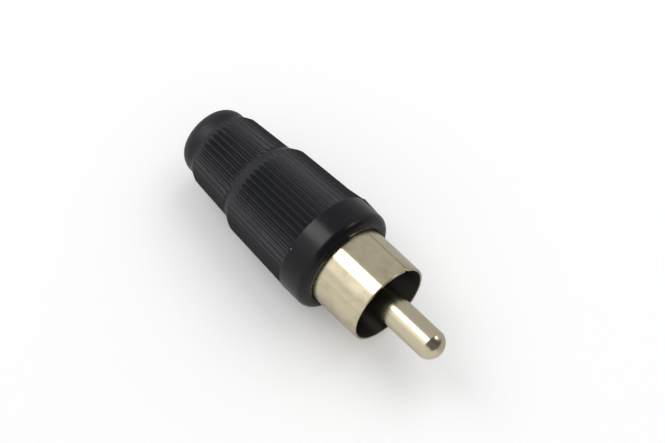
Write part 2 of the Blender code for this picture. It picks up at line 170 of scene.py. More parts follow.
class ShellSettings(bpy.types.PropertyGroup):
    mouth: height("Mouth", "Height of the shell's rim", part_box("shell")[1].z)
    clamp_back: height("Clamp, back", "Lowest height of the cable clamp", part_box("shell")[0].z)
    sheet: length("Sheet", "Thickness of the sheet", 0.28)
    diameter: length("Diameter", "Outside diameter of the barrel", 9.1)
    barrel: length("Barrel", "Length from the rim to the step", 7.35)
    step: length("Step", "Length of the step down to the neck", 0.6)
    neck_diameter: length("Neck", "Outside diameter of the threaded neck", 8.0)
    neck_length: length("Neck length", "Length of the threaded neck", 5.1)
    thread_pitch: length("Thread pitch", "Distance from turn to turn of the thread", 0.7)
    thread_depth: length("Thread depth", "Depth of the rolled thread", 0.1)
    seam_gap: length("Seam gap", "Width of the butt seam", 0.045)
    notch_width: length("Notch width", "Width of the notch where the seam meets the rim", 0.55)
    notch_depth: length("Notch depth", "Depth of that notch", 0.36)
    lug_width: length("Lug width", "Width of the ground lug", 3.4)
    lug_straight: length("Lug start", "Straight length behind the neck", 0.9)
    lug_crank: length("Lug crank", "Length over which the lug bends inwards", 1.9)
    lug_length: length("Lug length", "Length of the lug's broad part", 2.4)
    lug_taper: length("Lug taper", "Length over which it narrows", 1.0)
    lug_hole: length("Lug hole", "Diameter of the wire hole", 1.5)
    stem_width: length("Stem width", "Width of the stem between lug and clamp", 2.0)
    stem_length: length("Stem length", "Length of that stem", 1.6)
    clamp_diameter: length("Clamp", "Outside diameter of the open clamp", 5.2)
    clamp_length: length("Clamp length", "Length of the clamp along the axis", 3.2)
    clamp_wrap: angle("Clamp wrap", "How far round the clamp reaches", 230)
    tab_width: angle("Tab width", "How wide each folded tab is", 26)
    tab_spacing: angle("Tab spacing", "From the lug to each tab", 120)
    tab_fold: length("Tab fold", "How far a tab reaches inwards", 0.9)
    nickel: colour("Nickel", "Colour of the plated sheet", "#D6CBAF")
    tarnish: colour("Tarnish", "Colour where the plating is duller", "#BDAF8C")
    # Painted shade: this dark colour inside the barrel stands in for the shade deep in its mouth
    inside: colour("Inside", "Colour of the thin, dull plating inside the barrel", "#4E4C47")


class CoreSettings(bpy.types.PropertyGroup):
    tip: height("Tip", "Height of the pin's tip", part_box("centre_pin")[1].z)
    cup_back: height("Cup, back", "Lowest height of the solder cup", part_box("centre_pin")[0].z)
    pin_diameter: length("Pin", "Diameter of the centre pin", 3.2)
    dome: length("Dome", "Height of the pin's domed end", 1.2)
    pin_wall: length("Pin wall", "Thickness of the pin's wall", 0.7)
    flange_diameter: length("Flange", "Diameter of the pin's flange", 4.6)
    flange_thickness: length("Flange thickness", "Its thickness", 0.5)
    cup_diameter: length("Cup", "Outside diameter of the solder cup", 2.5)
    cup_wall: length("Cup wall", "Thickness of the cup's wall", 0.4)
    scoop: length("Scoop", "Length of the cup's open side", 1.8)
    insulator_front: height("Insulator, front", "Height of its face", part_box("insulator")[1].z)
    insulator_back: height("Insulator, back", "Height of its back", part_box("insulator")[0].z)
    washer_front: height("Washer, front", "Height of its front face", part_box("washer")[1].z)
    washer_back: height("Washer, back", "Height of its back face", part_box("washer")[0].z)
    plating: colour("Plating", "Colour of the plated pin", "#D2C8AD")
    insulator: colour("Insulator", "Colour of the insulator", "#0F0F10")
    fibre: colour("Fibre", "Colour of the fibre washer", "#6A3B24")
    fibre_pale: colour("Fibre, pale", "Colour of its paler fibres", "#8A5636")


class StageSettings(bpy.types.PropertyGroup):
    table: colour("Table", "Colour of the table", "#F4F4F4")
    # Painted shade: the table is darker here only in the plug's gloss, standing in for the shade
    # beside the plug
    mirrored: colour("Mirrored table", "Its colour in the gloss of the plug's far side", "#C8C8C8")
    table_glow: share("Table glow", "Light the camera alone sees on the table", 0.17)
    sky: share("Sky", "Light from all round", 0.58)
    distance: length("Distance", "From the plug to the soft boxes", 600)
    lamp: power("Key light", "Its power", 0.8)
    lamp_gloss: power("Key gloss", "Power of its twin that only gloss shows", 0.95)
    lamp_width: length("Key width", "Across the plug's axis", 302)
    lamp_height: length("Key height", "Along the plug's axis", 534)
    lamp_drop: angle("Key drop", "How far it stands towards the cable end", 36)
    lamp_turn: angle("Key turn", "How far it stands towards the seam", 7.5)
    fill: power("Fill light", "Its power", 0.95)
    fill_size: length("Fill size", "Width and height of the fill light", 420)
    fill_turn: angle("Fill turn", "How far it stands towards the seam", 52)


class PlugSettings(bpy.types.PropertyGroup):
    cover: PointerProperty(type=CoverSettings)
    shell: PointerProperty(type=ShellSettings)
    core: PointerProperty(type=CoreSettings)
    stage: PointerProperty(type=StageSettings)


def node(tree, kind, inputs=None, **settings):
    """A new node: settings are its own properties, inputs are values or the outputs to link."""
    made = tree.nodes.new(kind)
    for name, value in settings.items():
        setattr(made, name, value)
    for name, value in (inputs or {}).items():
        if isinstance(value, bpy.types.NodeSocket):
            tree.links.new(value, made.inputs[name])
        else:
            made.inputs[name].default_value = value
    return made


def new_material(name, colour_now, metallic, roughness, **constants):
    """A material with its Principled shader, whose constants stand on the shader itself."""
    made = bpy.data.materials.new(name)
    made.use_nodes = True
    tree = made.node_tree
    shader = tree.nodes["Principled BSDF"]
    shader.inputs["Base Color"].default_value = (*colour_now, 1)
    shader.inputs["Metallic"].default_value = metallic
    shader.inputs["Roughness"].default_value = roughness
    for socket, value in constants.items():
        shader.inputs[socket.replace("_", " ")].default_value = value
    return made, tree, shader


def noise(tree, where, size, detail=2.0, stretch=(1, 1, 1)):
    """Noise whose grain is about `size` metres across, drawn out by `stretch`."""
    scaled = node(
        tree,
        "ShaderNodeMapping",
        {"Vector": where, "Scale": tuple(1 / s for s in stretch)},
    )
    grain = {"Scale": 1 / size, "Detail": detail, "Roughness": 0.55}
    return node(
        tree, "ShaderNodeTexNoise", {"Vector": scaled.outputs["Vector"], **grain}
    ).outputs["Fac"]


def ranged(tree, value, low, high, to_low, to_high):
    return node(
        tree,
        "ShaderNodeMapRange",
        {"Value": value, "From Min": low, "From Max": high, "To Min": to_low, "To Max": to_high},
        interpolation_type="SMOOTHSTEP",
    ).outputs["Result"]


def mixed(tree, factor, first, second):
    made = node(tree, "ShaderNodeMix", data_type="RGBA")
    for index, value in ((0, factor), (6, first), (7, second)):
        if isinstance(value, bpy.types.NodeSocket):
            tree.links.new(value, made.inputs[index])
        else:
            made.inputs[index].default_value = value
    return made.outputs[2]


def combined(tree, operation, first, second=0.0):
    return node(tree, "ShaderNodeMath", {0: first, 1: second}, operation=operation).outputs[0]


def dotted(tree, where, direction):
    """How far a place or a direction lies towards the given direction."""
    return node(
        tree, "ShaderNodeVectorMath", {0: where, 1: direction}, operation="DOT_PRODUCT"
    ).outputs["Value"]


def bumped(tree, shader, grain, strength, depth):
    """Lets the grain show as relief on the shader's surface."""
    relief = {"Strength": strength, "Distance": depth, "Height": grain}
    bump = node(tree, "ShaderNodeBump", relief)
    tree.links.new(bump.outputs["Normal"], shader.inputs["Normal"])


def collar_height(s):
    return s.end_length + s.rear_length + s.shoulder + s.main_length


def moulded_abs(s):
    """ABS, injection moulded: satin black, with a smooth collar, matt ribs and a little dust."""
    made, tree, shader = new_material("moulded ABS, satin black", s.plastic, 0, 0.3, IOR=1.33)
    where = node(tree, "ShaderNodeTexCoord").outputs["Object"]
    # The mould's sanding leaves a grain of about 0.05 mm, drawn at 0.09 mm so that it shows
    grain = noise(tree, where, 0.09 * MM, 3)
    flow = noise(tree, where, 2.5 * MM, 2)
    collar = collar_height(s)
    up = node(tree, "ShaderNodeSeparateXYZ", {"Vector": where}).outputs["Z"]
    smooth = ranged(tree, up, collar - 0.1 * MM, collar + 0.1 * MM, 0, 1)
    zone = ranged(tree, smooth, 0, 1, 0.45, 0.25)
    uneven = ranged(tree, flow, 0.3, 0.7, -0.03, 0.03)
    tree.links.new(combined(tree, "ADD", zone, uneven), shader.inputs["Roughness"])
    # Specks of dust, 0.05 to 0.15 mm across and several millimetres apart
    specks = node(
        tree, "ShaderNodeTexVoronoi", {"Vector": where, "Scale": 1 / (1.5 * MM), "Randomness": 1.0}
    )
    near = ranged(tree, specks.outputs["Distance"], 0.035, 0.06, 1, 0)
    draw = node(tree, "ShaderNodeSeparateColor", {"Color": specks.outputs["Color"]}).outputs["Red"]
    dusty = combined(tree, "MULTIPLY", near, ranged(tree, draw, 0.72, 0.74, 0, 1))
    skin = mixed(tree, smooth, (*s.sanded, 1), (*s.plastic, 1))
    tree.links.new(mixed(tree, dusty, skin, (*s.dust, 1)), shader.inputs["Base Color"])
    bumped(tree, shader, grain, 0.25, 0.006 * MM)
    return made


def plated_sheet(s):
    """Brass sheet with bright nickel plate: a warm mirror, softly clouded and faintly lined."""
    made, tree, shader = new_material(
        "bright nickel plate on rolled brass sheet",
        s.nickel,
        1,
        0.18,
        Anisotropic_Rotation=0.25,
    )
    where = node(tree, "ShaderNodeTexCoord").outputs["Object"]
    clouds = noise(tree, where, 1.8 * MM, 3)
    patch = ranged(tree, clouds, 0.42, 0.72, 0, 0.6)
    plate = mixed(tree, patch, (*s.nickel, 1), (*s.tarnish, 1))
    # Inside the barrel the colour is darkened as painted shade, so that the mouth looks black, and
    # the surface is rougher
    flat = node(tree, "ShaderNodeVectorMath", {0: where, 1: (1, 1, 0)}, operation="MULTIPLY")
    radius = node(
        tree, "ShaderNodeVectorMath", {0: flat.outputs["Vector"]}, operation="LENGTH"
    ).outputs["Value"]
    up = node(tree, "ShaderNodeSeparateXYZ", {"Vector": where}).outputs["Z"]
    bore = s.diameter / 2 - s.sheet
    painted_shade_within = ranged(tree, radius, bore + 0.02 * MM, bore + 0.08 * MM, 1, 0)
    barrel = ranged(tree, up, s.mouth - s.barrel, s.mouth - s.barrel + 0.1 * MM, 0, 1)
    # The barrel was brushed on a turning mandrel, which draws its reflections out along it
    brushed = node(tree, "ShaderNodeTangent", direction_type="RADIAL", axis="Z")
    tree.links.new(brushed.outputs["Tangent"], shader.inputs["Tangent"])
    tree.links.new(ranged(tree, barrel, 0, 1, 0, 0.92), shader.inputs["Anisotropic"])
    # The mask of the barrel's inner wall, which gets painted shade in its colour and a rougher
    # surface
    dull = combined(tree, "MULTIPLY", painted_shade_within, barrel)
    tree.links.new(mixed(tree, dull, plate, (*s.inside, 1)), shader.inputs["Base Color"])
    bright = ranged(tree, clouds, 0.35, 0.7, 0.15, 0.21)
    rough = node(
        tree, "ShaderNodeMix", {"Factor": dull, "A": bright, "B": 0.5}, data_type="FLOAT"
    ).outputs["Result"]
    tree.links.new(rough, shader.inputs["Roughness"])
    # Rolling lines 0.03 mm apart, drawn at 0.08 mm along the strip so that they show
    lines = noise(tree, where, 0.08 * MM, 2, (1, 1, 25))
    bumped(tree, shader, lines, 0.12, 0.002 * MM)
    return made


def plated_pin(s):
    """Turned brass with bright nickel plate: the tool's fine rings widen its reflections."""
    made, tree, shader = new_material("bright nickel plate on turned brass", s.plating, 1, 0.2)
    where = node(tree, "ShaderNodeTexCoord").outputs["Object"]
    # The lathe's feed leaves rings of about 0.04 mm, drawn at 0.07 mm
    rings = noise(tree, where, 0.07 * MM, 1, (30, 30, 1))
    tree.links.new(ranged(tree, rings, 0.3, 0.7, 0.17, 0.25), shader.inputs["Roughness"])
    bumped(tree, shader, rings, 0.15, 0.003 * MM)
    return made


def moulded_insulator(s):
    """Glass-filled nylon, moulded: a dull black with a slightly rough skin."""
    made, tree, shader = new_material("moulded nylon, dull black", s.insulator, 0, 0.55, IOR=1.53)
    where = node(tree, "ShaderNodeTexCoord").outputs["Object"]
    # Glass fibres leave a skin of about 0.1 mm grain
    grain = noise(tree, where, 0.1 * MM, 3)
    tree.links.new(ranged(tree, grain, 0.3, 0.7, 0.48, 0.62), shader.inputs["Roughness"])
    bumped(tree, shader, grain, 0.3, 0.01 * MM)
    return made


def vulcanised_fibre(s):
    """Vulcanised fibre, punched from board: red-brown, matt and faintly fibrous."""
    made, tree, shader = new_material("vulcanised fibre board", s.fibre, 0, 0.7, IOR=1.5)
    where = node(tree, "ShaderNodeTexCoord").outputs["Object"]
    # Paper fibres about 0.03 mm thick and 1 mm long lie in the board
    fibres = noise(tree, where, 0.06 * MM, 3, (12, 3, 1))
    spread = ranged(tree, fibres, 0.35, 0.7, 0, 1)
    tone = mixed(tree, spread, (*s.fibre, 1), (*s.fibre_pale, 1))
    tree.links.new(tone, shader.inputs["Base Color"])
    bumped(tree, shader, fibres, 0.4, 0.01 * MM)
    return made


def along(value, start, end, first, last):
    """The size at a height on the straight line through two ends, or past them."""
    return first + (last - first) * (value - start) / (end - start)


def smooth_lower(first, second, softness):
    """The lower of two sizes, with the corner where they cross rounded."""
    reach = max(softness - abs(first - second), 0) / softness
    return min(first, second) - reach * reach * softness / 4


def smooth_upper(first, second, softness):
    return -smooth_lower(-first, -second, softness)


def fade(value):
    """0 to 1 with soft ends."""
    value = min(max(value, 0), 1)
    return value * value * (3 - 2 * value)


def outline(bm, points, closed=False, parts=None):
    """Edges through (radius, height) points in the XZ plane, some of them cut in several parts."""
    verts = [bm.verts.new((r, 0, z)) for r, z in points]
    pairs = list(zip(verts, verts[1:])) + ([(verts[-1], verts[0])] if closed else [])
    edges = [bm.edges.new(pair) for pair in pairs]
    for index, count in (parts or {}).items():
        bmesh.ops.subdivide_edges(bm, edges=[edges[index]], cuts=count - 1)


def round_corners(bm, corners, size, segments=4):
    """Rounds the outline's corners that lie at the given (radius, height) points."""
    places = [Vector((r, 0, z)) for r, z in corners]
    bmesh.ops.bevel(
        bm,
        geom=[v for v in bm.verts if any((v.co - place).length < 1e-8 for place in places)],
        offset=size,
        offset_type="OFFSET",
        segments=segments,
        profile=0.5,
        affect="VERTICES",
        material=-1,
    )


def lathe(bm, steps, angle_round=2 * math.pi, start=0.0):
    """Turns every edge of the bmesh round the plug's axis."""
    bmesh.ops.rotate(bm, matrix=Matrix.Rotation(start, 3, "Z"), verts=bm.verts)
    whole = math.isclose(angle_round, 2 * math.pi)
    bmesh.ops.spin(
        bm,
        geom=bm.verts[:] + bm.edges[:],
        cent=(0, 0, 0),
        axis=(0, 0, 1),
        angle=angle_round,
        steps=steps,
        use_merge=whole,
    )
    bmesh.ops.remove_doubles(bm, verts=bm.verts, dist=SAME)


def arc_points(centre, radii, first, last, steps):
    """(radius, height) points along a part of an ellipse. Angle 0 points outwards, 90 up."""
    turns = [math.radians(first + (last - first) * i / steps) for i in range(steps + 1)]
    return [(centre[0] + radii[0] * math.cos(t), centre[1] + radii[1] * math.sin(t)) for t in turns]


def finished(name, bm, finish, sharp=40):
    """An object at the origin from the bmesh, shaded smooth but for its real edges."""
    bmesh.ops.recalc_face_normals(bm, faces=bm.faces)
    mesh = bpy.data.meshes.new(name)
    bm.to_mesh(mesh)
    bm.free()
    mesh.shade_smooth()
    mesh.set_sharp_from_angle(angle=math.radians(sharp))
    mesh.materials.append(finish)
    made = bpy.data.objects.new(name, mesh)
    bpy.context.collection.objects.link(made)
    return made


def cut_with(made, tool):
    """Gives the object a modifier that takes the tool out of it."""
    cut = made.modifiers.new("cut", "BOOLEAN")
    cut.operation = "DIFFERENCE"
    cut.solver = "EXACT"
    cut.object = tool


def settled(made):
    """The object with its modifiers applied."""
    graph = bpy.context.evaluated_depsgraph_get()
    mesh = bpy.data.meshes.new_from_object(made.evaluated_get(graph), depsgraph=graph)
    made.modifiers.clear()
    old = made.data
    made.data = mesh
    bpy.data.meshes.remove(old)
    return made


def thread_relief(z, turn, pitch, low, high):
    """0 in the thread's groove to 1 on its crest, fading out at both ends."""
    wave = 0.5 - 0.5 * math.cos(2 * math.pi * (z / pitch - turn / (2 * math.pi)))
    return wave * fade((z - low) / pitch) * fade((high - z) / pitch)


def rib_depth(s, turn, back, front, groove):
    """How far the skin lies below the ribs' crests: straight flanks, rounded at both ends."""
    count = round(math.pi * (back + front) / 2 / s.rib_pitch)
    from_crest = abs((turn - groove) * count / (2 * math.pi) % 1 - 0.5) * s.rib_pitch
    from_groove = s.rib_pitch / 2 - from_crest
    crest = math.hypot(from_crest, s.rib_crest) - s.rib_crest
    valley = math.hypot(from_groove, s.rib_valley) - from_groove
    return (crest - valley) * math.tan(s.rib_flank)


def cover_radius(s, z, turn):
    """The cover's outside between its cable end and its collar."""
    ramp_front = s.end_length + s.ramp
    shoulder_back = s.end_length + s.rear_length
    shoulder_front = shoulder_back + s.shoulder
    collar = collar_height(s)
    ramp = along(z, s.end_length, ramp_front, s.end_diameter / 2, s.rear_back / 2)
    shoulder = along(z, shoulder_back, shoulder_front, s.rear_front / 2, s.main_back / 2)
    rear = along(z, ramp_front, shoulder_back, s.rear_back / 2, s.rear_front / 2)
    main = along(z, shoulder_front, collar, s.main_back / 2, s.main_front / 2)
    rear -= rib_depth(s, turn, s.rear_back, s.rear_front, s.rear_groove)
    main -= rib_depth(s, turn, s.main_back, s.main_front, s.main_groove)
    soft = s.rib_softness
    front_part = smooth_lower(shoulder, main, soft)
    radius = smooth_lower(ramp, smooth_upper(rear, front_part, soft), soft)
    if z >= collar:
        below = collar + s.collar_edge - z
        edge = s.collar_back / 2 - s.collar_edge + math.sqrt(max(s.collar_edge**2 - below**2, 0))
        radius = max(radius, edge)
    return radius


def cover_outside(s):
    """The ribbed skin: a plain turned form whose rings then take the radius of every rib."""
    bm = bmesh.new()
    end_radius = s.end_diameter / 2
    inset = end_radius - s.end_flat / 2
    curve = (inset**2 + s.end_round**2) / (2 * inset)
    first = -math.degrees(math.asin(s.end_round / curve))
    shoulder_back = s.end_length + s.rear_length
    shoulder_front = shoulder_back + s.shoulder
    collar = collar_height(s)
    points = [(s.cable_hole / 2 + s.hole_break, 0)]
    points += arc_points((end_radius - curve, s.end_round), (curve, curve), first, 0, 14)
    stops = [
        (s.end_length, 1),
        (s.end_length + 1.3 * s.ramp, 16),
        (shoulder_back - 0.9 * MM, 3),
        (shoulder_front + 0.3 * MM, 28),
        (collar - 0.02 * MM, 4),
        (collar - 0.001 * MM, 1),
        (collar, 1),
        (collar + 0.3 * s.collar_edge, 7),
        (collar + s.collar_edge, 4),
    ]
    counts = {len(points) - 1 + i: count for i, (_, count) in enumerate(stops) if count > 1}
    points += [(s.collar_back / 2, z) for z, _ in stops]
    centre = (s.collar_front / 2 - s.collar_round, s.front - s.collar_round)
    points.append((s.collar_front / 2 - 0.006 * MM, centre[1] - 0.3 * MM))
    points += arc_points(centre, (s.collar_round, s.collar_round), 0, 90, 24)
    outline(bm, points + [(s.shell_seat / 2 + s.mouth_break, s.front)], parts=counts)
    lathe(bm, COVER_STEPS, start=s.main_groove)
    for vert in bm.verts:
        if s.end_length - SAME < vert.co.z < collar + s.collar_edge - SAME:
            turn = math.atan2(vert.co.y, vert.co.x)
            radius = cover_radius(s, vert.co.z, turn)
            vert.co.xy = (radius * math.cos(turn), radius * math.sin(turn))
    return bm


def cover_lining(s, shell):
    """The inside: cable hole, cavity, thread and the mouth that takes the shell."""
    bm = bmesh.new()
    neck_front = shell.mouth - shell.barrel - shell.step
    neck_back = neck_front - shell.neck_length
    shoulder_back = s.end_length + s.rear_length
    hole = s.cable_hole / 2
    cavity = shell.clamp_diameter / 2 + 0.3 * MM
    thread = s.thread_bore / 2
    seat = s.shell_seat / 2
    gap = 0.1 * MM
    points = [
        (hole, s.hole_break),
        (hole, s.end_wall),
        (cavity, s.end_wall),
        (cavity, shoulder_back - s.wall),
        (thread, shoulder_back + s.shoulder + s.wall),
        (thread, neck_back - 0.2 * MM),
        (thread, neck_front - gap),
        (seat, neck_front + shell.step - gap),
        (seat, s.front - s.mouth_break),
    ]
    outline(bm, points, parts={5: 64})
    round_corners(bm, points[1:5] + points[6:8], 0.15 * MM, 3)
    lathe(bm, LINING_STEPS, start=s.main_groove)
    for vert in bm.verts:
        if abs(vert.co.xy.length - thread) < SAME:
            turn = math.atan2(vert.co.y, vert.co.x)
            relief = thread_relief(
                vert.co.z, turn, shell.thread_pitch, neck_back - 0.2 * MM, neck_front - 2 * gap
            )
            vert.co.xy *= 1 - 0.8 * shell.thread_depth * relief / thread
    return bm


def joined(*parts):
    """One bmesh from several, which are used up."""
    whole = bmesh.new()
    for part in parts:
        mesh = bpy.data.meshes.new("part")
        part.to_mesh(mesh)
        part.free()
        whole.from_mesh(mesh)
        bpy.data.meshes.remove(mesh)
    return whole


def add_nib(bm, s):
    """A small nib of flash where the mould opened, on the collar's back edge."""
    outwards = Vector((math.cos(s.nib_turn), math.sin(s.nib_turn), 0))
    edge = Vector((0, 0, collar_height(s) + s.collar_edge / 2))
    centre = outwards * s.collar_back / 2 + edge
    for vert in bm.verts:
        away = vert.co - centre
        rise = fade(1 - abs(away.z) / s.nib_length) * fade(1 - away.xy.length / s.nib_width)
        vert.co += outwards * s.nib * rise


class PLUG_OT_cover(bpy.types.Operator):
    """Build the moulded screw-on cover"""

    bl_idname = "phono_plug.cover"
    bl_label = "Cover"

    def execute(self, context):
        settings = context.scene.phono_plug
        s = settings.cover
        bm = joined(cover_outside(s), cover_lining(s, settings.shell))
        open_edges = [e for e in bm.edges if e.is_boundary]
        middle = s.front / 2
        for side in (-1, 1):
            rims = [e for e in open_edges if (e.verts[0].co.z - middle) * side > 0]
            bmesh.ops.bridge_loops(bm, edges=rims)
        add_nib(bm, s)
        made = finished("moulded_cover", bm, moulded_abs(s), sharp=50)
        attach(made, "cover")
        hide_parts("cover")
        return {"FINISHED"}


def rolled_tube(s):
    """Barrel, step and threaded neck of the shell, open along the butt seam."""
    bm = bmesh.new()
    out, neck = s.diameter / 2, s.neck_diameter / 2
    step_front = s.mouth - s.barrel
    step_back = step_front - s.step
    neck_back = step_back - s.neck_length
    # Rings beside the roundings keep the straight walls' shading straight
    beside_step = step_front + 0.4 * MM
    # The notch draws this much of the wall down at the rim
    band = 0.5 * MM
    below_band = s.mouth - band
    points = [
        (neck, neck_back),
        (neck, step_back),
        (out, step_front),
        (out, beside_step),
        (out, below_band),
        (out, s.mouth),
        (out - s.sheet, s.mouth),
        (out - s.sheet, s.mouth - 0.3 * MM),
        (out - s.sheet, beside_step),
        (out - s.sheet, step_front),
        (neck - s.sheet, step_back),
        (neck - s.sheet, neck_back),
    ]
    outline(bm, points, closed=True, parts={0: 56, 4: 4})
    round_corners(bm, points[5:7], 0.09 * MM, 5)
    round_corners(bm, [points[0], points[11]], 0.05 * MM, 2)
    round_corners(bm, points[1:3] + points[9:11], 0.22 * MM, 5)
    gap = s.seam_gap / out
    lathe(bm, SHELL_STEPS, 2 * math.pi - gap, SEAM_TURN + gap / 2)
    bmesh.ops.holes_fill(bm, edges=[e for e in bm.edges if e.is_boundary], sides=0)
    for vert in bm.verts:
        turn = math.atan2(vert.co.y, vert.co.x)
        from_seam = (turn - SEAM_TURN + math.pi) % (2 * math.pi) - math.pi
        radius = vert.co.xy.length
        if abs(radius - neck) < 1e-6:
            relief = thread_relief(vert.co.z, turn, s.thread_pitch, neck_back + 0.2 * MM, step_back)
            radius -= s.thread_depth * (1 - relief) * fade((vert.co.z - neck_back) / (0.3 * MM))
        # One edge of the sheet stands a hair proud of the other
        if from_seam < 0 and vert.co.z > step_front:
            radius += 0.02 * MM * fade(1 + from_seam / math.radians(25))
        vert.co.xy = (radius * math.cos(turn), radius * math.sin(turn))
        # Both corners of the sheet are cut back, which leaves a notch at the rim
        cut = 1 - abs(from_seam) * out / (s.notch_width / 2)
        if cut > 0 and vert.co.z > below_band:
            depth = s.notch_depth * cut
            vert.co.z = below_band + (vert.co.z - below_band) * (1 - depth / band)
    return bm


def ground_strip(s):
    """The strip behind the neck: curved where it leaves the tube, flat at the lug, then narrow."""
    neck_back = s.mouth - s.barrel - s.step - s.neck_length
    lug_front = neck_back - s.lug_straight - s.lug_crank
    stem_front = lug_front - s.lug_length - s.lug_taper
    clamp_front = stem_front - s.stem_length
    outer = (s.neck_diameter - s.sheet) / 2
    inner = (s.clamp_diameter - s.sheet) / 2
    top, bottom = neck_back + 0.15 * MM, clamp_front - s.clamp_length / 4
    bm = bmesh.new()
    bmesh.ops.create_grid(bm, x_segments=16, y_segments=120, size=1)
    for vert in bm.verts:
        z = top + (bottom - top) * (1 - vert.co.y) / 2
        broad = fade((z - stem_front) / s.lug_taper)
        across = vert.co.x * (s.stem_width + (s.lug_width - s.stem_width) * broad) / 2
        bent = fade((neck_back - s.lug_straight - z) / s.lug_crank)
        offset = outer + (inner - outer) * bent
        flat = fade((neck_back - z) / (s.lug_straight + s.lug_crank))
        flat -= fade((stem_front - z) / s.stem_length)
        sag = (offset - math.sqrt(offset**2 - across**2)) * (1 - max(flat, 0))
        vert.co = (across, offset - sag, z)
    made = finished("ground_strip", bm, None, 30)
    wall = made.modifiers.new("sheet", "SOLIDIFY")
    wall.thickness = s.sheet - 0.04 * MM
    wall.offset = 0
    drill = bmesh.new()
    bmesh.ops.create_cone(
        drill,
        cap_ends=True,
        segments=64,
        radius1=s.lug_hole / 2,
        radius2=s.lug_hole / 2,
        depth=4 * MM,
    )
    bmesh.ops.rotate(drill, matrix=Matrix.Rotation(math.pi / 2, 3, "X"), verts=drill.verts)
    bmesh.ops.translate(drill, vec=(0, inner, lug_front - s.lug_length / 2), verts=drill.verts)
    tool = finished("wire_hole", drill, None, 30)
    cut_with(made, tool)
    edge = made.modifiers.new("edge", "BEVEL")
    edge.width = 0.05 * MM
    edge.segments = 3
    edge.limit_method = "ANGLE"
    edge.angle_limit = math.radians(50)
    settled(made)
    bpy.data.objects.remove(tool, do_unlink=True)
    whole = bmesh.new()
    whole.from_mesh(made.data)
    bpy.data.objects.remove(made, do_unlink=True)
    return whole


def sheet_ring(points, steps, angle_round, start, edge):
    """A part of a ring of sheet from its closed section, with its edges rounded."""
    bm = bmesh.new()
    outline(bm, points, closed=True)
    lathe(bm, steps, angle_round, start)
    bmesh.ops.holes_fill(bm, edges=[e for e in bm.edges if e.is_boundary], sides=0)
    bmesh.ops.recalc_face_normals(bm, faces=bm.faces)
    corners = [e for e in bm.edges if e.is_manifold and e.calc_face_angle() > math.radians(40)]
    bmesh.ops.bevel(
        bm,
        geom=corners,
        offset=edge,
        offset_type="OFFSET",
        segments=3,
        profile=0.5,
        affect="EDGES",
        material=-1,
    )
    return bm


def clamp_band(s):
    outer = s.clamp_diameter / 2
    front = s.clamp_back + s.clamp_length
    points = [
        (outer - s.sheet, s.clamp_back),
        (outer, s.clamp_back),
        (outer, front),
        (outer - s.sheet, front),
    ]
    start = LUG_TURN - s.clamp_wrap / 2
    return sheet_ring(points, 96, s.clamp_wrap, start, 0.06 * MM)


def folded_tab(s, middle):
    """A tab of the neck, bent in behind the washer."""
    neck_back = s.mouth - s.barrel - s.step - s.neck_length
    inner = s.neck_diameter / 2 - s.sheet + 0.02 * MM
    outer = s.neck_diameter / 2 - s.thread_depth - 0.02 * MM
    top = neck_back - 0.15 * MM
    reach = inner - s.tab_fold
    points = [
        (inner, neck_back + s.sheet),
        (inner, top),
        (reach, top),
        (reach, top - s.sheet),
        (outer - 0.2 * MM, top - s.sheet),
        (outer - 0.06 * MM, top - s.sheet + 0.06 * MM),
        (outer, top - s.sheet + 0.2 * MM),
        (outer, neck_back + s.sheet),
    ]
    return sheet_ring(points, 12, s.tab_width, middle - s.tab_width / 2, 0.04 * MM)


class PLUG_OT_shell(bpy.types.Operator):
    """Build the rolled shell with its ground lug, clamp and tabs"""

    bl_idname = "phono_plug.shell"
    bl_label = "Shell"

    def execute(self, context):
        s = context.scene.phono_plug.shell
        tabs = [folded_tab(s, LUG_TURN + side * s.tab_spacing) for side in (-1, 1)]
        bm = joined(rolled_tube(s), ground_strip(s), clamp_band(s), *tabs)
        made = finished("rolled_shell", bm, plated_sheet(s), sharp=35)
        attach(made, "core")
        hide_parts("shell")
        return {"FINISHED"}


class PLUG_OT_pin(bpy.types.Operator):
    """Build the hollow centre pin with its flange and solder cup"""

    bl_idname = "phono_plug.pin"
    bl_label = "Centre pin"

    def execute(self, context):
        s = context.scene.phono_plug.core
        radius = s.pin_diameter / 2
        bore = radius - s.pin_wall
        cup = s.cup_diameter / 2
        flange_back = s.washer_front + 0.1 * MM
        flange_front = flange_back + s.flange_thickness
        shoulder = s.tip - s.dome
        points = [
            (0, shoulder - s.pin_wall + bore / 2),
            (bore, shoulder - s.pin_wall),
            (bore, flange_front),
            (cup - s.cup_wall, flange_back),
            (cup - s.cup_wall, s.cup_back),
            (cup, s.cup_back),
            (cup, flange_back),
            (s.flange_diameter / 2, flange_back),
            (s.flange_diameter / 2, flange_front),
            (radius, flange_front),
            (radius, shoulder - 0.3 * MM),
        ]
        bm = bmesh.new()
        round_radius = (radius**2 + s.dome**2) / (2 * s.dome)
        first = math.degrees(math.acos(radius / round_radius))
        dome = arc_points((0, s.tip - round_radius), (round_radius, round_radius), first, 90, 24)
        outline(bm, points + dome[:-1] + [(0, s.tip)])
        round_corners(bm, points[4:6] + points[7:9] + dome[:1], 0.06 * MM, 3)
        lathe(bm, PIN_STEPS)
        made = finished("centre_contact", bm, plated_pin(s), sharp=35)
        scoop = bmesh.new()
        bmesh.ops.create_cube(scoop, size=1)
        size = Vector((4 * cup, 2 * cup, s.scoop + 1 * MM))
        bmesh.ops.scale(scoop, vec=size, verts=scoop.verts)
        middle = (0, -cup, s.cup_back + s.scoop - size.z / 2)
        bmesh.ops.translate(scoop, vec=middle, verts=scoop.verts)
        tool = finished("scoop", scoop, None, 30)
        cut_with(made, tool)
        settled(made)
        bpy.data.objects.remove(tool, do_unlink=True)
        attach(made, "core")
        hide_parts("centre_pin")
        return {"FINISHED"}


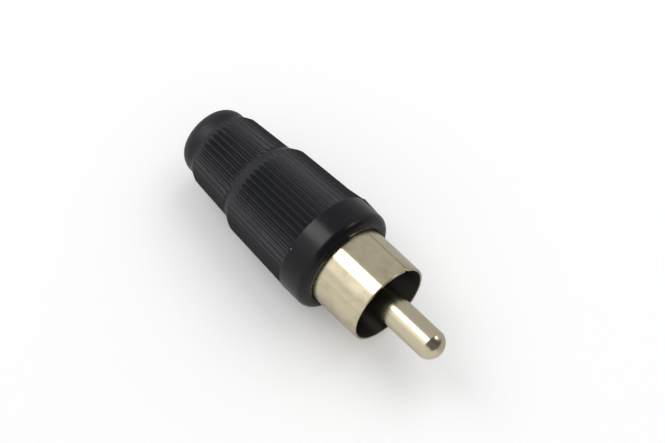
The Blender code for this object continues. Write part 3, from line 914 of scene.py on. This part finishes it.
class PLUG_OT_insulation(bpy.types.Operator):
    """Build the insulator and the fibre washer behind it"""

    bl_idname = "phono_plug.insulation"
    bl_label = "Insulator and washer"

    def execute(self, context):
        settings = context.scene.phono_plug
        s, shell = settings.core, settings.shell
        loose, close = 0.1 * MM, 0.05 * MM
        flange = shell.diameter / 2 - shell.sheet - loose
        body = shell.neck_diameter / 2 - shell.sheet - close
        hole = s.pin_diameter / 2 + close
        pocket = s.flange_diameter / 2 + loose
        pocket_front = s.washer_front + 0.2 * MM + s.flange_thickness
        step_front = shell.mouth - shell.barrel
        points = [
            (hole, s.insulator_front),
            (hole, pocket_front),
            (pocket, pocket_front),
            (pocket, s.insulator_back),
            (body, s.insulator_back),
            (body, step_front - shell.step + loose),
            (flange, step_front + loose),
            (flange, s.insulator_front),
        ]
        bm = bmesh.new()
        outline(bm, points, closed=True)
        round_corners(bm, [points[0], points[4], points[7]], 0.12 * MM, 4)
        lathe(bm, RING_STEPS)
        made = finished("insulator_moulding", bm, moulded_insulator(s))
        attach(made, "core")
        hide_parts("insulator")
        bm = bmesh.new()
        hole = s.cup_diameter / 2 + loose
        section = [
            (hole, s.washer_back),
            (body, s.washer_back),
            (body, s.washer_front),
            (hole, s.washer_front),
        ]
        outline(bm, section, closed=True)
        round_corners(bm, section, 0.04 * MM, 2)
        lathe(bm, RING_STEPS)
        made = finished("fibre_washer", bm, vulcanised_fibre(s))
        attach(made, "core")
        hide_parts("washer")
        return {"FINISHED"}


def camera_turn():
    """The rotation from the camera's own axes to the plug's frame, and the camera's place."""
    sine, cosine = math.sin(AXIS_TO_VIEW), math.cos(AXIS_TO_VIEW)
    axis = Vector((sine * math.cos(AXIS_ROLL), -sine * math.sin(AXIS_ROLL), cosine))
    facing = (Vector((0, 0, 1)) - axis * axis.z).normalized()
    across = axis.cross(facing)
    world_axis = Vector((0, 0, 1))
    world_facing = Vector((math.cos(FACING_TURN), math.sin(FACING_TURN), 0))
    world_across = world_axis.cross(world_facing)
    seen = Matrix((axis, facing, across))
    there = Matrix((world_axis, world_facing, world_across)).transposed()
    turn = there @ seen
    focal = PIXELS_PER_METRE * CAMERA_DISTANCE
    mouth = Vector(
        (
            (MOUTH_PIXEL[0] - IMAGE_CENTRE[0]) / focal * CAMERA_DISTANCE,
            (IMAGE_CENTRE[1] - MOUTH_PIXEL[1]) / focal * CAMERA_DISTANCE,
            -CAMERA_DISTANCE,
        )
    )
    place = Vector((0, 0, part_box("shell")[1].z)) - turn @ mouth
    return turn, place, focal


def table_material(s, far_side):
    """A sheet of smooth white board. From behind the camera sees through it."""
    made = bpy.data.materials.new("white table board")
    made.use_nodes = True
    tree = made.node_tree
    tree.nodes.clear()
    path = node(tree, "ShaderNodeLightPath")
    where = node(tree, "ShaderNodeTexCoord").outputs["Object"]
    grain = noise(tree, where, 30 * MM, 2)
    board = mixed(tree, ranged(tree, grain, 0.3, 0.7, 0, 0.06), (*s.table, 1), (0.8, 0.8, 0.8, 1))
    # Painted shade: beyond the plug's far side, the table takes the darker mirrored colour in gloss
    # alone
    beyond = ranged(tree, dotted(tree, where, far_side), -5 * MM, 5 * MM, 0, 1)
    mirrored = combined(tree, "MULTIPLY", beyond, path.outputs["Is Glossy Ray"])
    tone = mixed(tree, mirrored, board, (*s.mirrored, 1))
    matt = node(tree, "ShaderNodeBsdfDiffuse", {"Color": tone})
    glow = node(tree, "ShaderNodeEmission", {"Color": (1, 1, 1, 1), "Strength": s.table_glow})
    dark = node(tree, "ShaderNodeEmission", {"Color": (0, 0, 0, 1), "Strength": 0.0})
    lit = node(
        tree,
        "ShaderNodeMixShader",
        {0: path.outputs["Is Camera Ray"], 1: dark.outputs[0], 2: glow.outputs[0]},
    )
    front = node(tree, "ShaderNodeAddShader", {0: matt.outputs[0], 1: lit.outputs[0]})
    clear = node(tree, "ShaderNodeBsdfTransparent")
    back = node(tree, "ShaderNodeNewGeometry").outputs["Backfacing"]
    behind = combined(tree, "MULTIPLY", back, path.outputs["Is Camera Ray"])
    mix = node(tree, "ShaderNodeMixShader", {0: behind, 1: front.outputs[0], 2: clear.outputs[0]})
    node(tree, "ShaderNodeOutputMaterial", {"Surface": mix.outputs[0]})
    return made


def studio_world(s, axis, across, beside_key, window):
    """White to the camera, even light on matt things, and for gloss a room with dim sides."""
    world = bpy.data.worlds.new("studio")
    bpy.context.scene.world = world
    world.use_nodes = True
    tree = world.node_tree
    tree.nodes.clear()
    where = node(tree, "ShaderNodeTexCoord").outputs["Generated"]
    sideways = dotted(tree, where, across)
    # The room is dimmer on the seam's side, lighter at the wall opposite and by the key light
    wall = ranged(tree, sideways, -0.95, -0.65, 0.12, 0)
    room = combined(tree, "ADD", ranged(tree, sideways, 0.15, 0.5, 0.82, 0.55), wall)
    glow = ranged(tree, dotted(tree, where, beside_key), 0.848, 0.996, 0, 0.5)
    # The photographer stands before the tip, as a dark patch that reaches down to the table
    off_centre = combined(tree, "ABSOLUTE", combined(tree, "SUBTRACT", sideways, 0.19))
    before = ranged(tree, dotted(tree, where, axis), -0.22, 0.0, 0, 1)
    figure = combined(tree, "MULTIPLY", before, ranged(tree, off_centre, 0.52, 0.74, 1, 0))
    dimmed = ranged(tree, figure, 0, 1, 1, 0.2)
    lit = combined(tree, "MULTIPLY", combined(tree, "ADD", room, glow), dimmed)
    pane = ranged(tree, dotted(tree, where, window), 0.978, 0.994, 0, 3)
    level = combined(tree, "ADD", lit, pane)
    path = node(tree, "ShaderNodeLightPath")
    glossy = node(tree, "ShaderNodeBackground", {"Color": (1, 1, 1, 1), "Strength": level})
    even = node(tree, "ShaderNodeBackground", {"Color": (1, 1, 1, 1), "Strength": s.sky})
    white = node(tree, "ShaderNodeBackground", {"Color": (1, 1, 1, 1), "Strength": 1.0})
    mirrored = combined(
        tree, "MAXIMUM", path.outputs["Is Glossy Ray"], path.outputs["Is Transmission Ray"]
    )
    unseen = node(
        tree,
        "ShaderNodeMixShader",
        {0: mirrored, 1: even.outputs[0], 2: glossy.outputs[0]},
    )
    seen = node(
        tree,
        "ShaderNodeMixShader",
        {0: path.outputs["Is Camera Ray"], 1: unseen.outputs[0], 2: white.outputs[0]},
    )
    node(tree, "ShaderNodeOutputWorld", {"Surface": seen.outputs[0]})


def soft_box(name, distance, towards, width, height, power):
    """An area light that the camera doesn't see, at a distance from the plug."""
    data = bpy.data.lights.new(name, "AREA")
    data.shape = "RECTANGLE"
    data.size = width
    data.size_y = height
    data.energy = power
    across = Vector((0, 0, 1)).cross(towards).normalized()
    axes = Matrix((across, towards.cross(across), towards)).transposed()
    place = Vector((0, 0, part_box("cover")[1].z)) + towards * distance
    made = bpy.data.objects.new(name, data)
    made.matrix_world = Matrix.Translation(place) @ axes.to_4x4()
    made.visible_camera = False
    bpy.context.scene.collection.objects.link(made)
    return made


class PLUG_OT_stage(bpy.types.Operator):
    """Set up the camera, the table, the soft boxes and the studio's light"""

    bl_idname = "phono_plug.stage"
    bl_label = "Stage"

    def execute(self, context):
        s = context.scene.phono_plug.stage
        scene = context.scene
        turn, place, focal = camera_turn()
        data = bpy.data.cameras.new("photo_camera")
        data.sensor_width = SENSOR_WIDTH
        data.lens = focal * SENSOR_WIDTH / IMAGE_WIDTH
        data.clip_start = 0.01
        camera = bpy.data.objects.new("photo_camera", data)
        camera.matrix_world = Matrix.Translation(place) @ turn.to_4x4()
        scene.collection.objects.link(camera)
        scene.camera = camera

        up = (turn @ Vector(TABLE_NORMAL)).normalized()
        reach = max(-up.dot(v.co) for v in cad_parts["cover"].data.vertices)
        bm = bmesh.new()
        bmesh.ops.create_grid(bm, x_segments=2, y_segments=2, size=3)
        spin = up.to_track_quat("Z", "Y").to_matrix()
        bmesh.ops.rotate(bm, matrix=spin, verts=bm.verts)
        bmesh.ops.translate(bm, vec=-up * (reach + 0.02 * MM), verts=bm.verts)
        mesh = bpy.data.meshes.new("table")
        bm.to_mesh(mesh)
        bm.free()
        facing = Vector((math.cos(FACING_TURN), math.sin(FACING_TURN), 0))
        seamwards = facing.cross(Vector((0, 0, 1)))
        mesh.materials.append(table_material(s, seamwards))
        table = bpy.data.objects.new("table", mesh)
        scene.collection.objects.link(table)

        axis = Vector((0, 0, 1))

        def towards(turn_now, drop):
            side = math.cos(turn_now) * facing + math.sin(turn_now) * seamwards
            return math.cos(drop) * side - math.sin(drop) * axis

        # The glow of the room beside the key light, and a small window on the seam's side
        beside_key = towards(math.radians(-12), math.radians(23))
        window = towards(math.radians(69), math.radians(-21))
        studio_world(s, axis, seamwards, beside_key, window)
        key = towards(s.lamp_turn, s.lamp_drop)
        soft_box("key_light", s.distance, key, s.lamp_width, s.lamp_height, s.lamp)
        # The twin stands a little further off: in one place, both would lose part of their gloss
        beyond = s.distance + 10 * MM
        gloss = soft_box("key_gloss", beyond, key, s.lamp_width, s.lamp_height, s.lamp_gloss)
        gloss.visible_diffuse = False
        side = towards(s.fill_turn, 0)
        fill = soft_box("fill_light", s.distance, side, s.fill_size, s.fill_size, s.fill)
        fill.visible_glossy = False
        scene.view_settings.view_transform = "Standard"
        return {"FINISHED"}


class PLUG_PT_panel(bpy.types.Panel):
    bl_idname = "PLUG_PT_panel"
    bl_label = "Phono Plug"
    bl_space_type = "VIEW_3D"
    bl_region_type = "UI"
    bl_category = "Phono Plug"

    def draw(self, context):
        settings = context.scene.phono_plug
        for label, group in (
            ("Cover", settings.cover),
            ("Shell", settings.shell),
            ("Pin and insulation", settings.core),
            ("Stage", settings.stage),
        ):
            box = self.layout.box()
            box.label(text=label)
            for name in type(group).__annotations__:
                box.prop(group, name)
        for operator in OPERATORS:
            self.layout.operator(operator.bl_idname)


OPERATORS = (PLUG_OT_cover, PLUG_OT_shell, PLUG_OT_pin, PLUG_OT_insulation, PLUG_OT_stage)
CLASSES = (CoverSettings, ShellSettings, CoreSettings, StageSettings, PlugSettings) + OPERATORS
CLASSES += (PLUG_PT_panel,)


def register():
    for item in CLASSES:
        bpy.utils.register_class(item)
    bpy.types.Scene.phono_plug = PointerProperty(type=PlugSettings)


def unregister():
    del bpy.types.Scene.phono_plug
    for item in reversed(CLASSES):
        bpy.utils.unregister_class(item)


def main():
    register()
    bpy.ops.phono_plug.cover()
    bpy.ops.phono_plug.shell()
    bpy.ops.phono_plug.pin()
    bpy.ops.phono_plug.insulation()
    bpy.ops.phono_plug.stage()
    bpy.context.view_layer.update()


if __name__ == "__main__":
    main()
